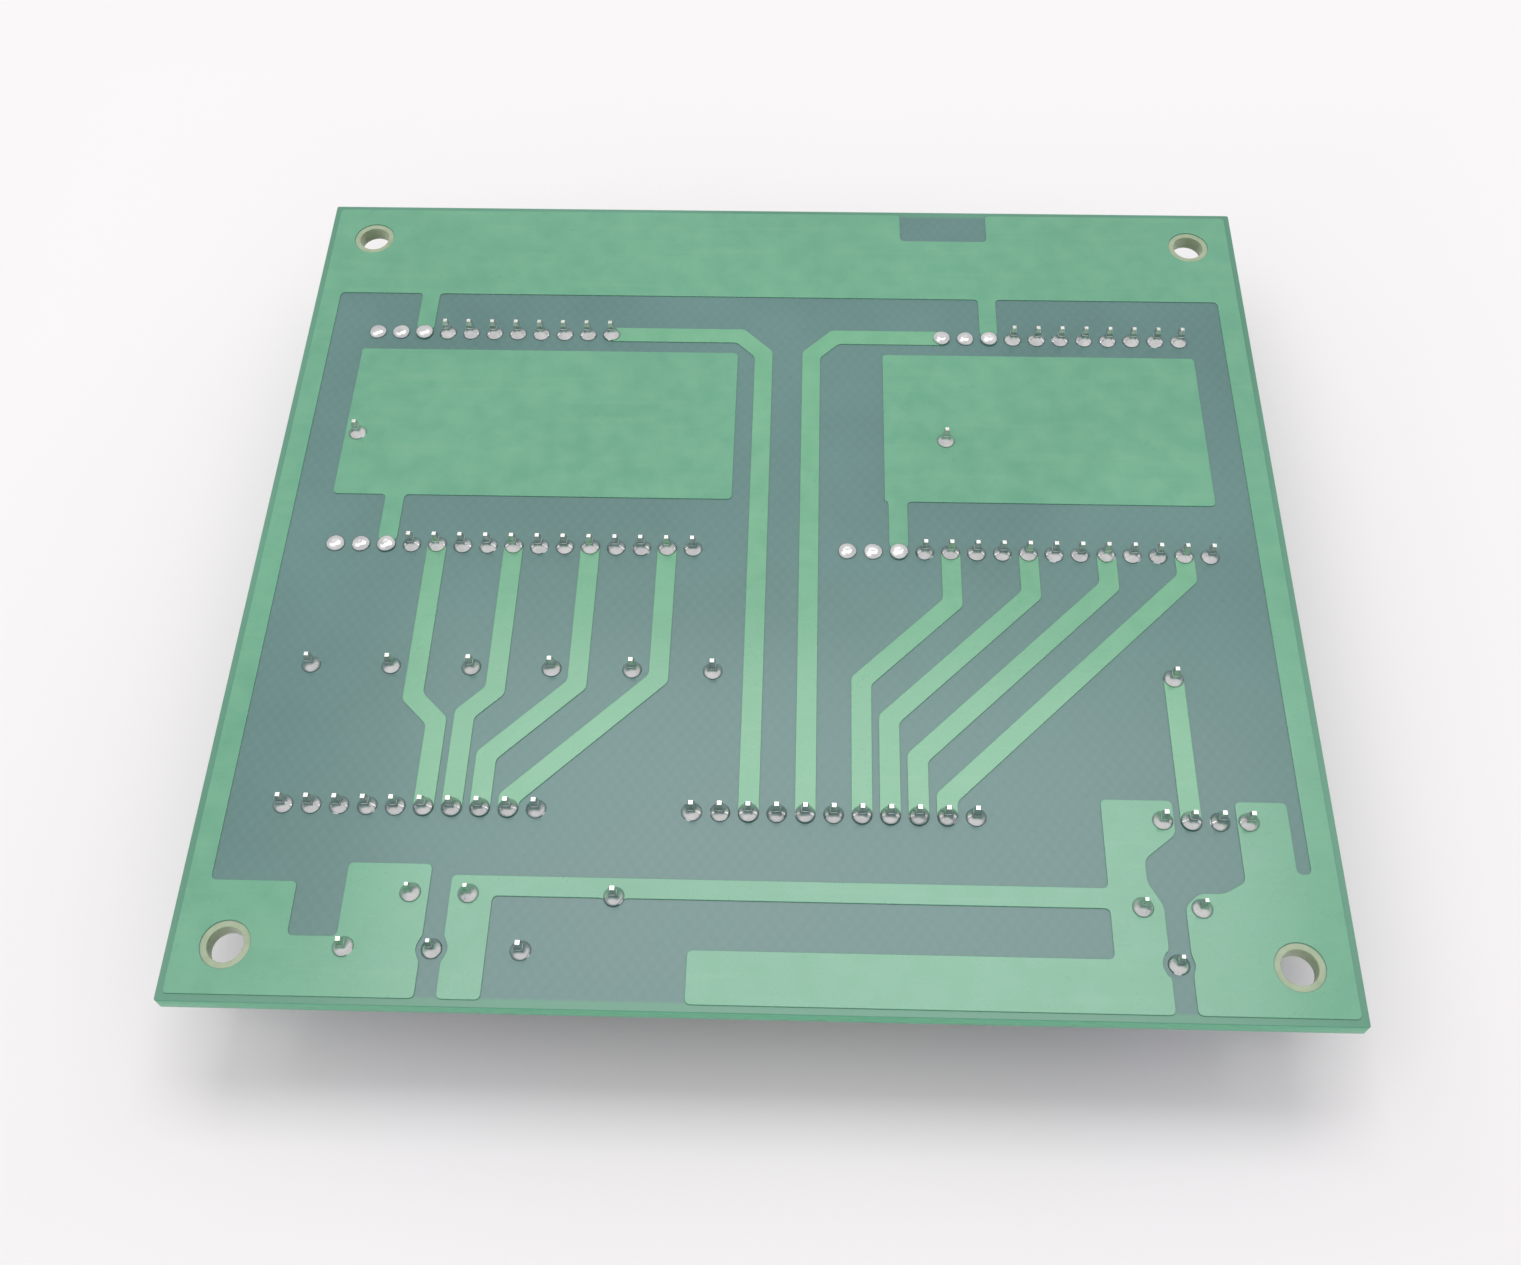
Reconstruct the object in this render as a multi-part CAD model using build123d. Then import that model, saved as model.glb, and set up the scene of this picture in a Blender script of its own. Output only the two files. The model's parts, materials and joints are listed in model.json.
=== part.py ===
from build123d import *
from math import atan2, cos, degrees, pi
import os

# Through-hole circuit board, level and solder side up, standing on the headers of its component side.
# Lengths are in millimetres. The origin is on the table, below the middle of the board.

# Board
BOARD_WIDTH = 101.6
BOARD_DEPTH = 93.98
BOARD_THICK = 1.6
PITCH = 2.54
MOUNTING_RADIUS = 1.6
MOUNTING_INSET = 5.08

# Pins and their solder: each joint is a slender cone on a pad, and an empty hole has a low dome
PIN_WIDTH = 0.64
PIN_POINT_INSET_SHARE = 0.2
PIN_POINT_LENGTH = 0.5
PIN_CLEARANCE = 0.1
TAIL_LENGTH = 2.0
JOINT_RADIUS = 0.95
JOINT_NECK_RADIUS = 0.52
JOINT_HEIGHT = 1.05
DOME_HEIGHT = 0.5
DOME_SHOULDER_RADIUS_SHARE = 0.72
DOME_SHOULDER_HEIGHT_SHARE = 0.65
DOME_TOP_RADIUS_SHARE = 0.3
SOLDER_SIDE_COUNT = 8

# Copper under its green mask, which stands a little above the bare laminate
COPPER_THICK = 0.1
TRACK_WIDTH = 1.9
COPPER_GAP = 0.5
AREA_CORNER = 0.7
MOUNTING_CLEARANCE = 0.6

# Headers: a base with square pins and a latch wall, whose tongues are what the part stands on
HEADER_HEIGHT = 11.7
HEADER_BASE_HEIGHT = 3.2
HEADER_FRONT_DEPTH = 2.7
HEADER_BACK_DEPTH = 3.5
HEADER_EDGE_CHAMFER = 0.5
WALL_THICK = 1.2
TONGUE_GAP = 2.0
TONGUE_CORNER = 0.8
LATCH_HEIGHT = 7.6
LATCH_LENGTH = 2.2
LATCH_DEPTH = 0.6
PIN_TIP_SETBACK = 0.6
TONGUE_PIN_COUNT = 4
CUT_OVERRUN = 1.0

# Posts: one pin each in a small block
POST_BLOCK_WIDTH = 2.5
POST_BLOCK_HEIGHT = 2.54
POST_HEIGHT = 8.5

# Trimmers: a square body with a slotted rotor and three leads, two behind and one in front
TRIMMER_WIDTH = 9.5
TRIMMER_HEIGHT = 4.8
TRIMMER_CHAMFER = 0.6
TRIMMER_FRONT_SETBACK = 5.08
TRIMMER_ROW_SPACING = 5.08
TRIMMER_LEAD_WIDTH = 0.5
ROTOR_RADIUS = 3.1
ROTOR_THICK = 1.1
ROTOR_SEAT_DEPTH = 0.9
ROTOR_CLEARANCE = 0.1
ROTOR_SLOT_WIDTH = 0.9
ROTOR_SLOT_DEPTH = 0.7
ROTOR_SLOT_LENGTH_SHARE = 0.7

# The front row of headers and the copper of the front zone keep their distance from the front edge
FRONT_ROW_SETBACK = 18.415
FRONT_ZONE_DEPTH = 20.4

# The bus runs over the trimmers' back row, off its middle by a share of the track's width
BUS_OFFSET_SHARE = 0.415
BUS_SETBACK = TRIMMER_FRONT_SETBACK + TRIMMER_ROW_SPACING + BUS_OFFSET_SHARE * TRACK_WIDTH

# The panels between the rows reach past the outer pins and stop short of the middle tracks
PANEL_MARGIN = 1.3
PANEL_TRACK_GAP = 1.8

# Heights above the table
BOARD_BOTTOM = HEADER_HEIGHT
BOARD_TOP = BOARD_BOTTOM + BOARD_THICK

# Places, as shares of the board's width and depth from its front left corner
BACK_ROW_SHARE = 0.7973
UPPER_POST_SHARE = 0.6486
MIDDLE_ROW_SHARE = 0.5
LOWER_POST_SHARE = 0.3514
FRONT_ROW_SHARE = FRONT_ROW_SETBACK / BOARD_DEPTH
HEADER_MIDDLE_SHARES = {
    "back_left": (0.2375, BACK_ROW_SHARE),
    "back_right": (0.8375, BACK_ROW_SHARE),
    "middle_left": (0.2875, MIDDLE_ROW_SHARE),
    "middle_right": (0.7875, MIDDLE_ROW_SHARE),
    "front_left": (0.1875, FRONT_ROW_SHARE),
    "front_middle": (0.5625, FRONT_ROW_SHARE),
    "front_right": (0.8875, FRONT_ROW_SHARE),
}
TRIMMER_MIDDLE_SHARES = {"left": 0.225, "right": 0.85}
HEADER_PIN_COUNT = {
    "back_left": 8,
    "back_right": 8,
    "middle_left": 12,
    "middle_right": 12,
    "front_left": 10,
    "front_middle": 11,
    "front_right": 4,
}

# The back and middle rows have three more holes on the left, filled with solder only
EMPTY_HOLE_COUNT = 3
ROWS_WITH_EMPTY_HOLES = ("back_left", "back_right", "middle_left", "middle_right")

# The middle headers serve groups of three pins. A track leaves the middle pin of each group.
GROUP_PIN_COUNT = 3
LOWER_POST_COUNT = 6
LEFT_TRACK_ENDS = (5, 6, 7, 8)
RIGHT_TRACK_ENDS = (6, 7, 8, 9)
MIDDLE_TRACK_STARTS = (2, 4)

# Upper and lower bend of each track, as shares of the way from the front row to the middle row
LEFT_BEND_SHARES = ((0.395, 0.306), (0.423, 0.334), (0.451, 0.184), (0.479, 0.035))
RIGHT_BEND_SHARES = ((0.794, 0.483), (0.832, 0.343), (0.871, 0.204), (0.909, 0.065))

# Lower and upper edge of the two panels, as shares of the way from the middle row to the back row
PANEL_EDGE_SHARES = (0.219, 0.913)

# Outlines of the copper areas, as shares of the board's width and depth
BACK_BAND_SHARES = (
    (0.006, 0.858), (0.994, 0.858), (0.994, 0.994), (0.729, 0.994),
    (0.729, 0.951), (0.634, 0.951), (0.634, 0.994), (0.006, 0.994),
)
LEFT_EDGE_SHARES = ((0.006, 0.05), (0.026, 0.05), (0.026, 0.87), (0.006, 0.87))
RIGHT_EDGE_SHARES = ((0.972, 0.05), (0.994, 0.05), (0.994, 0.87), (0.972, 0.87))

# Outlines of the front areas, as shares of the board's width and the front zone's depth
FRONT_LEFT_GROUND_SHARES = (
    (0.006, 0.032), (0.216, 0.032), (0.216, 0.631), (0.143, 0.631),
    (0.143, 0.295), (0.101, 0.295), (0.101, 0.539), (0.006, 0.539),
)
FRONT_RIGHT_GROUND_SHARES = (
    (0.861, 0.032), (0.994, 0.032), (0.994, 0.663), (0.96, 0.663), (0.96, 1),
    (0.9145, 1), (0.9145, 0.622), (0.895, 0.567), (0.874, 0.567), (0.861, 0.507),
)
FRONT_RIGHT_SUPPLY_SHARES = (
    (0.797, 0.032), (0.843, 0.032), (0.843, 0.507), (0.831, 0.613),
    (0.831, 0.719), (0.86, 0.838), (0.86, 1), (0.797, 1),
)
BUS_END_SHARES = (0.25, 0.81)
BUS_TOP_SHARE = (BUS_SETBACK + TRACK_WIDTH / 2) / FRONT_ZONE_DEPTH
FRONT_STRIP_SHARES = ((0.44, 0.032), (0.81, 0.032), (0.81, 0.267), (0.44, 0.267))
FRONT_LEFT_SUPPLY_SHARES = (
    (0.234, 0.032), (0.271, 0.032), (0.271, BUS_TOP_SHARE), (0.234, BUS_TOP_SHARE),
)


def at(width_share, depth_share):
    """The point of the board's plan at these shares of its width and depth."""
    return BOARD_WIDTH * (width_share - 0.5), BOARD_DEPTH * (depth_share - 0.5)


def header_places(name):
    """The plan places of a header's pins, from left to right."""
    middle_x, y = at(*HEADER_MIDDLE_SHARES[name])
    half_span = (HEADER_PIN_COUNT[name] - 1) / 2 * PITCH
    return [(middle_x - half_span + k * PITCH, y) for k in range(HEADER_PIN_COUNT[name])]


def empty_places(name):
    """The plan places of the filled holes to the left of a header, from left to right."""
    first_x, y = header_places(name)[0]
    return [(first_x - k * PITCH, y) for k in range(EMPTY_HOLE_COUNT, 0, -1)]


def trimmer_places(name):
    """The plan places of a trimmer's leads: the two behind, then the one in front."""
    x = at(TRIMMER_MIDDLE_SHARES[name], 0)[0]
    front_y = TRIMMER_FRONT_SETBACK - BOARD_DEPTH / 2
    back_y = front_y + TRIMMER_ROW_SPACING
    return [(x - PITCH, back_y), (x + PITCH, back_y), (x, front_y)]


def lower_posts():
    """The row of posts below the middle headers, in steps of one group of pins, and one on the right."""
    y = at(0, LOWER_POST_SHARE)[1]
    group = GROUP_PIN_COUNT * PITCH
    first_x = header_places("middle_left")[0][0] - group
    places = [(first_x + k * group, y) for k in range(LOWER_POST_COUNT)]
    return places + [(header_places("front_right")[1][0], y)]


def post_places():
    """The plan places of all single posts, which line up with the headers and the left trimmer."""
    upper_y = at(0, UPPER_POST_SHARE)[1]
    upper = [(empty_places(name)[0][0], upper_y) for name in ("back_left", "back_right")]
    left_back, _, left_front = trimmer_places("left")
    group = GROUP_PIN_COUNT * PITCH
    front = [(left_front[0] + side * group, left_front[1]) for side in (-1, 1)]
    front.append((left_front[0] + 2 * group, left_back[1]))
    return upper + lower_posts() + front


def mounting_places():
    """The plan places of the four mounting holes."""
    x = BOARD_WIDTH / 2 - MOUNTING_INSET
    y = BOARD_DEPTH / 2 - MOUNTING_INSET
    return [(side * x, end * y) for side in (-1, 1) for end in (-1, 1)]


HEADER_JOINTS = [place for name in HEADER_PIN_COUNT for place in header_places(name)]
TRIMMER_JOINTS = [place for name in TRIMMER_MIDDLE_SHARES for place in trimmer_places(name)]
POST_JOINTS = post_places()
FILLED_HOLES = [place for name in ROWS_WITH_EMPTY_HOLES for place in empty_places(name)]
PIN_PLACES = HEADER_JOINTS + TRIMMER_JOINTS + POST_JOINTS
SOLDER_PLACES = PIN_PLACES + FILLED_HOLES


def spread(shape, places, height=0):
    """Copies of a shape at each of the plan places, as a list."""
    return [Pos(x, y, height) * shape for x, y in places]


def area(shares, depth=BOARD_DEPTH):
    """A flat copper area with this outline, over a depth that starts at the front edge."""
    points = [at(x_share, y_share * depth / BOARD_DEPTH) for x_share, y_share in shares]
    return Polygon(*points, align=None)


def track(points, width=TRACK_WIDTH):
    """A flat copper track of one width through the points, mitred at its bends."""
    runs = [(Vector(*end) - Vector(*start)).normalized() for start, end in zip(points, points[1:])]
    left = []
    right = []
    for point, before, after in zip(points, runs[:1] + runs, runs + runs[-1:]):
        ahead = (before + after).normalized()
        side = Vector(-ahead.Y, ahead.X) * (width / 2 / ahead.dot(after))
        left.append(Vector(*point) + side)
        right.append(Vector(*point) - side)
    return Polygon(*right, *reversed(left), align=None)


def pads(places, gap=0):
    """Flat pads at these places, or the openings that leave a gap around them."""
    return spread(RegularPolygon(JOINT_RADIUS + gap, SOLDER_SIDE_COUNT), places)


def link(hole, edge_y):
    """A short copper strip that ties a filled hole to an area with its edge at this depth."""
    return track([hole, (hole[0], edge_y + TRACK_WIDTH)])


def signal_points(start, end, bend_shares):
    """Down from a middle header's pin, slantwise to a front header's pin's column, and down to it."""
    rise = start[1] - end[1]
    upper_y = end[1] + rise * bend_shares[0]
    lower_y = end[1] + rise * bend_shares[1]
    return [start, (start[0], upper_y), (end[0], lower_y), end]


def signal_routes(start_name, end_name, end_pins, bends):
    """The routes from the middle pin of each group of one header to pins of another."""
    starts = header_places(start_name)[1::GROUP_PIN_COUNT]
    ends = [header_places(end_name)[k] for k in end_pins]
    return [signal_points(start, end, bend) for start, end, bend in zip(starts, ends, bends)]


def middle_routes():
    """Two routes up the middle of the board, one turning to each of the back rows."""
    starts = [header_places("front_middle")[k] for k in MIDDLE_TRACK_STARTS]
    ends = [header_places("back_left")[-1], empty_places("back_right")[0]]
    routes = []
    for start, end, side in zip(starts, ends, (-1, 1)):
        bend_y = end[1] - PITCH
        routes.append([start, (start[0], bend_y), (start[0] + side * PITCH, end[1]), end])
    return routes


TRACK_ROUTES = {
    "left_signal_tracks": signal_routes(
        "middle_left", "front_left", LEFT_TRACK_ENDS, LEFT_BEND_SHARES
    ),
    "right_signal_tracks": signal_routes(
        "middle_right", "front_middle", RIGHT_TRACK_ENDS, RIGHT_BEND_SHARES
    ),
    "middle_tracks": middle_routes(),
    "post_track": [[lower_posts()[-1], header_places("front_right")[1]]],
}


def ground_outline():
    """The band along the back, the strips along both sides and the areas at the front corners."""
    whole = (BACK_BAND_SHARES, LEFT_EDGE_SHARES, RIGHT_EDGE_SHARES)
    front = (FRONT_LEFT_GROUND_SHARES, FRONT_RIGHT_GROUND_SHARES)
    shapes = [area(shares) for shares in whole]
    shapes += [area(shares, FRONT_ZONE_DEPTH) for shares in front]
    for name in ("back_left", "back_right"):
        hole = empty_places(name)[-1]
        shapes.append(link(hole, at(0, BACK_BAND_SHARES[0][1])[1]))
    return Sketch() + shapes


def supply_outline():
    """The bus along the front and the areas that it joins."""
    tables = (FRONT_RIGHT_SUPPLY_SHARES, FRONT_STRIP_SHARES, FRONT_LEFT_SUPPLY_SHARES)
    ends = [at(share, BUS_SETBACK / BOARD_DEPTH) for share in BUS_END_SHARES]
    return Sketch() + [area(shares, FRONT_ZONE_DEPTH) for shares in tables] + track(ends)


def panel_outline(left_x, right_x, middle_row):
    """A large area between a back and a middle row, tied to the middle row's last filled hole."""
    hole = empty_places(middle_row)[-1]
    rise = at(0, BACK_ROW_SHARE)[1] - hole[1]
    low_y, high_y = [hole[1] + rise * share for share in PANEL_EDGE_SHARES]
    corners = [(left_x, low_y), (right_x, low_y), (right_x, high_y), (left_x, high_y)]
    return Sketch() + Polygon(*corners, align=None) + link(hole, low_y)


def left_panel_outline():
    """The left panel, from the first filled hole's column to the left middle track."""
    track_x = header_places("front_middle")[MIDDLE_TRACK_STARTS[0]][0]
    left_x = empty_places("back_left")[0][0] - PANEL_MARGIN
    return panel_outline(left_x, track_x - TRACK_WIDTH / 2 - PANEL_TRACK_GAP, "middle_left")


def right_panel_outline():
    """The right panel, from the last filled hole of the middle row to that row's last pin."""
    left_x = empty_places("middle_right")[-1][0] - PANEL_MARGIN
    right_x = header_places("middle_right")[-1][0] + PANEL_MARGIN
    return panel_outline(left_x, right_x, "middle_right")


def is_within(outline, place):
    """True where a plan place is inside a flat outline."""
    return any(face.is_inside(Vector(*place)) for face in outline.faces())


def ease(outline):
    """Cuts the corners of a flat outline where both of their edges leave room."""
    rooms = {vertex: min(edge.length for edge in outline.edges() if vertex in edge.vertices())
             for vertex in outline.vertices()}
    return chamfer([vertex for vertex, room in rooms.items() if room > 2 * AREA_CORNER], AREA_CORNER)


def etch(outline):
    """Opens an area around tracks, mounting holes and foreign pads, and widens it to its own pads."""
    own = [place for place in SOLDER_PLACES if is_within(outline, place)]
    foreign = [place for place in SOLDER_PLACES if place not in own]
    routes = [route for group in TRACK_ROUTES.values() for route in group]
    cuts = [track(route, TRACK_WIDTH + 2 * COPPER_GAP) for route in routes]
    cuts += pads(foreign, COPPER_GAP)
    cuts += spread(Circle(MOUNTING_RADIUS + MOUNTING_CLEARANCE), mounting_places())
    return ease(outline) - cuts + pads(own)


COPPER = {
    "ground_copper": [etch(ground_outline())],
    "supply_copper": [etch(supply_outline())],
    "left_panel_copper": [etch(left_panel_outline())],
    "right_panel_copper": [etch(right_panel_outline())],
}
for node, routes in TRACK_ROUTES.items():
    COPPER[node] = [track(route) + pads([route[0], route[-1]]) for route in routes]


def copper(outlines):
    """Copper of even thickness on the solder side, with a hole for each pin."""
    hole = Rectangle(PIN_WIDTH + 2 * PIN_CLEARANCE, PIN_WIDTH + 2 * PIN_CLEARANCE)
    holes = spread(hole, PIN_PLACES)
    return [extrude(Pos(0, 0, BOARD_TOP) * (outline - holes), COPPER_THICK) for outline in outlines]


def is_on_copper(place):
    """True where a pad is on one of the tracks or areas."""
    return any(is_within(outline, place) for outlines in COPPER.values() for outline in outlines)


PAD_HEIGHTS = {place: BOARD_TOP + (COPPER_THICK if is_on_copper(place) else 0) for place in SOLDER_PLACES}


def board():
    """The laminate, with its mounting holes and a hole for each pin."""
    hole = Rectangle(PIN_WIDTH + 2 * PIN_CLEARANCE, PIN_WIDTH + 2 * PIN_CLEARANCE)
    plan = Rectangle(BOARD_WIDTH, BOARD_DEPTH) - spread(hole, PIN_PLACES)
    plan -= spread(Circle(MOUNTING_RADIUS), mounting_places())
    return extrude(Pos(0, 0, BOARD_BOTTOM) * plan, BOARD_THICK)


def taper(plan, height, inset):
    """A plan drawn up to a height, with each side leaning in by the inset."""
    return extrude(plan, height, taper=degrees(atan2(inset, height)))


def cone(radius, top_radius, height):
    """A many-sided cone with its point cut off, on the ground plane."""
    inset = (radius - top_radius) * cos(pi / SOLDER_SIDE_COUNT)
    return taper(RegularPolygon(radius, SOLDER_SIDE_COUNT), height, inset)


def joints(places, pin_width=PIN_WIDTH):
    """Solder cones that reach up the pins from their pads."""
    joint = cone(JOINT_RADIUS, JOINT_NECK_RADIUS, JOINT_HEIGHT)
    joint -= extrude(Rectangle(pin_width, pin_width), JOINT_HEIGHT)
    return [Pos(x, y, PAD_HEIGHTS[x, y]) * joint for x, y in places]


def domes(places):
    """Low solder domes over holes that have no pin."""
    shoulder_radius = JOINT_RADIUS * DOME_SHOULDER_RADIUS_SHARE
    shoulder_height = DOME_HEIGHT * DOME_SHOULDER_HEIGHT_SHARE
    skirt = cone(JOINT_RADIUS, shoulder_radius, shoulder_height)
    crown = cone(shoulder_radius, JOINT_RADIUS * DOME_TOP_RADIUS_SHARE, DOME_HEIGHT - shoulder_height)
    dome = skirt + Pos(0, 0, shoulder_height) * crown
    return [Pos(x, y, PAD_HEIGHTS[x, y]) * dome for x, y in places]


def pins(places, bottom, width=PIN_WIDTH):
    """Square pins from a height above the table to their tails, with a tapered point at the tail."""
    shank_top = BOARD_TOP + TAIL_LENGTH - PIN_POINT_LENGTH
    shank = extrude(Pos(0, 0, bottom) * Rectangle(width, width), shank_top - bottom)
    point = taper(Rectangle(width, width), PIN_POINT_LENGTH, width * PIN_POINT_INSET_SHARE)
    return spread(shank + Pos(0, 0, shank_top) * point, places)


def header_section():
    """The section of a header across its row, hanging from the board: base, latch wall and catch."""
    wall_face = HEADER_BACK_DEPTH - WALL_THICK
    outline = [
        (-HEADER_FRONT_DEPTH, 0),
        (HEADER_BACK_DEPTH, 0),
        (HEADER_BACK_DEPTH, -HEADER_HEIGHT),
        (wall_face, -HEADER_HEIGHT),
        (wall_face, -LATCH_HEIGHT - LATCH_LENGTH),
        (wall_face - LATCH_DEPTH, -LATCH_HEIGHT),
        (wall_face, -LATCH_HEIGHT),
        (wall_face, -HEADER_BASE_HEIGHT),
        (HEADER_EDGE_CHAMFER - HEADER_FRONT_DEPTH, -HEADER_BASE_HEIGHT),
        (-HEADER_FRONT_DEPTH, HEADER_EDGE_CHAMFER - HEADER_BASE_HEIGHT),
    ]
    return Polygon(*outline, align=None)


def tongue_gap():
    """What is cut from the latch wall beside a tongue, with slanting corners at the free end."""
    half = TONGUE_GAP / 2
    free_end = -HEADER_HEIGHT - CUT_OVERRUN
    outline = [
        (-half, -HEADER_BASE_HEIGHT),
        (half, -HEADER_BASE_HEIGHT),
        (half, TONGUE_CORNER - HEADER_HEIGHT),
        (half + TONGUE_CORNER, -HEADER_HEIGHT),
        (half + TONGUE_CORNER, free_end),
        (-half - TONGUE_CORNER, free_end),
        (-half - TONGUE_CORNER, -HEADER_HEIGHT),
        (-half, TONGUE_CORNER - HEADER_HEIGHT),
    ]
    plan = Plane.XZ * Polygon(*outline, align=None)
    return extrude(plan, HEADER_BACK_DEPTH + CUT_OVERRUN, both=True)


def header(name):
    """A header's moulding: the section along the row, cut into tongues and bored for the pins."""
    count = HEADER_PIN_COUNT[name]
    length = count * PITCH
    body = extrude(Plane.YZ * header_section(), length / 2, both=True)
    tongues = count // TONGUE_PIN_COUNT
    gaps = [Pos(length * (k / tongues - 0.5), 0, 0) * tongue_gap() for k in range(tongues + 1)]
    bore = extrude(Rectangle(PIN_WIDTH, PIN_WIDTH), -HEADER_BASE_HEIGHT)
    middle_x, y = at(*HEADER_MIDDLE_SHARES[name])
    bores = [Pos(x - middle_x, 0, 0) * bore for x, _ in header_places(name)]
    return Pos(middle_x, y, BOARD_BOTTOM) * (body - gaps - bores)


def post_blocks():
    """The blocks that hold the single posts."""
    plan = Rectangle(POST_BLOCK_WIDTH, POST_BLOCK_WIDTH) - Rectangle(PIN_WIDTH, PIN_WIDTH)
    block = extrude(plan, -POST_BLOCK_HEIGHT)
    return spread(block, POST_JOINTS, BOARD_BOTTOM)


def trimmer_middle(name):
    """The plan middle of a trimmer's body, between its two rows of leads."""
    left_lead, _, front_lead = trimmer_places(name)
    return front_lead[0], (left_lead[1] + front_lead[1]) / 2


def trimmer_body(name):
    """A square body with cut corners and a round seat in the face away from the board."""
    plan = chamfer(Rectangle(TRIMMER_WIDTH, TRIMMER_WIDTH).vertices(), TRIMMER_CHAMFER)
    body = extrude(plan, -TRIMMER_HEIGHT)
    seat = extrude(Circle(ROTOR_RADIUS + ROTOR_CLEARANCE), ROTOR_SEAT_DEPTH)
    x, y = trimmer_middle(name)
    return Pos(x, y, BOARD_BOTTOM) * (body - Pos(0, 0, -TRIMMER_HEIGHT) * seat)


def trimmer_rotor(name):
    """A disc in the seat with a screwdriver slot."""
    top = ROTOR_SEAT_DEPTH - TRIMMER_HEIGHT
    disc = extrude(Circle(ROTOR_RADIUS), -ROTOR_THICK)
    slot_length = 2 * ROTOR_RADIUS * ROTOR_SLOT_LENGTH_SHARE
    slot = extrude(Rectangle(slot_length, ROTOR_SLOT_WIDTH), ROTOR_SLOT_DEPTH)
    x, y = trimmer_middle(name)
    return Pos(x, y, BOARD_BOTTOM + top) * (disc - Pos(0, 0, -ROTOR_THICK) * slot)


def write(name, shapes):
    """Writes the solids of one node."""
    solids = [solid for shape in shapes for solid in shape.solids()]
    export_step(Compound(solids), f"parts/{name}.step")


os.makedirs("parts", exist_ok=True)
write("board", [board()])
for node, outlines in COPPER.items():
    write(node, copper(outlines))
write("header_joints", joints(HEADER_JOINTS))
write("post_joints", joints(POST_JOINTS))
write("trimmer_joints", joints(TRIMMER_JOINTS, TRIMMER_LEAD_WIDTH))
write("filled_holes", domes(FILLED_HOLES))
for name in HEADER_PIN_COUNT:
    write(f"{name}_header", [header(name)])
    write(f"{name}_pins", pins(header_places(name), PIN_TIP_SETBACK))
write("post_blocks", post_blocks())
write("post_pins", pins(POST_JOINTS, BOARD_BOTTOM - POST_HEIGHT))
for name in TRIMMER_MIDDLE_SHARES:
    write(f"{name}_trimmer_body", [trimmer_body(name)])
    write(f"{name}_trimmer_rotor", [trimmer_rotor(name)])
    write(f"{name}_trimmer_leads", pins(trimmer_places(name), BOARD_BOTTOM, TRIMMER_LEAD_WIDTH))
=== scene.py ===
import json
import math
import random

import bmesh
import bpy
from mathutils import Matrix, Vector


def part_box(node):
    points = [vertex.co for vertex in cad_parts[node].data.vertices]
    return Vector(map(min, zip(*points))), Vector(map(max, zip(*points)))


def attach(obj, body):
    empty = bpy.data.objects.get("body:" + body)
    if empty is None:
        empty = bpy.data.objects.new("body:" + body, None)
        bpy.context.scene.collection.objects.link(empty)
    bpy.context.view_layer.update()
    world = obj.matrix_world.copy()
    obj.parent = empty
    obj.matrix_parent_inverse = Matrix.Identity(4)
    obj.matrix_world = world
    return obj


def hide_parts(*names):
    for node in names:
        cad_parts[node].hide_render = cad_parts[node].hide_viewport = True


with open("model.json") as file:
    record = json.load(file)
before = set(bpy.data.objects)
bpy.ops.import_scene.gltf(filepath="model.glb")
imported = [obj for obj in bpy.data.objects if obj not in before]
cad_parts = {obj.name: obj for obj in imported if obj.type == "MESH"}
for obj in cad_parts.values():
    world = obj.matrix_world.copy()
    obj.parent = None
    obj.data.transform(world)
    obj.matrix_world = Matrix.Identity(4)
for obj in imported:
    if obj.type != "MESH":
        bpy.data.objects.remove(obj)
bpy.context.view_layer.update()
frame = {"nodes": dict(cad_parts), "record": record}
nodes = frame["nodes"]
dice = random.Random(7)
MM = 0.001

HEADERS = ["back_left", "back_right", "middle_left", "middle_right",
           "front_left", "front_middle", "front_right"]
AREAS = ["ground_copper", "supply_copper", "left_panel_copper", "right_panel_copper"]
TRACKS = ["left_signal_tracks", "right_signal_tracks", "middle_tracks", "post_track"]
TRIMMERS = ["left_trimmer", "right_trimmer"]
WIRES = [name + "_pins" for name in HEADERS] + ["post_pins"] + [name + "_leads" for name in TRIMMERS]
JOINT_WIRES = {"header": "back_left_pins", "post": "post_pins", "trimmer": "left_trimmer_leads"}

# The board's plan, from the frame
HALF_WIDTH, HALF_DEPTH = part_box("board")[1].xy
hole_dims = frame["record"]["mounts"][0]["dims"]
HOLE_PLACE = (hole_dims["spacing_x_mm"] / 2 * MM, hole_dims["spacing_y_mm"] / 2 * MM, 0)

# The laminate's bare ring round a hole, its pale rim and the threads of its cloth
RING_RADIUS = 2.2 * MM
RING_FADE = 0.1 * MM
RIM_WIDTH = 0.65 * MM
RIM_FADE = 0.3 * MM
RIM_SHARE = 0.8
WARP_STEP = 1.2 * MM
WEFT_STEP = 1.6 * MM

# Outlines of the flat sheets, in millimetres: the solids' cut corners, and how soft corners and edges are
CUT_CORNER = 0.7
AREA_ROUNDING = 0.55
TRACK_ROUNDING = 0.4
BOARD_ROUNDING = 0.25
COPPER_EDGE = 0.04
BOARD_EDGE = 0.06
PIN_HOLE_LIMIT = 1.5
EDGE_SHARE = 0.48
SETBACK_TOLERANCE = 0.01
SHEET_WELD = 0.0005
TURN_TOLERANCE = math.radians(1)

# Meshes: what counts as one point, as one level and as a level face
NODE_WELD = 0.001 * MM
LEVEL_TOLERANCE = 0.01 * MM
LEVEL_NORMAL = 0.9999

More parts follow.
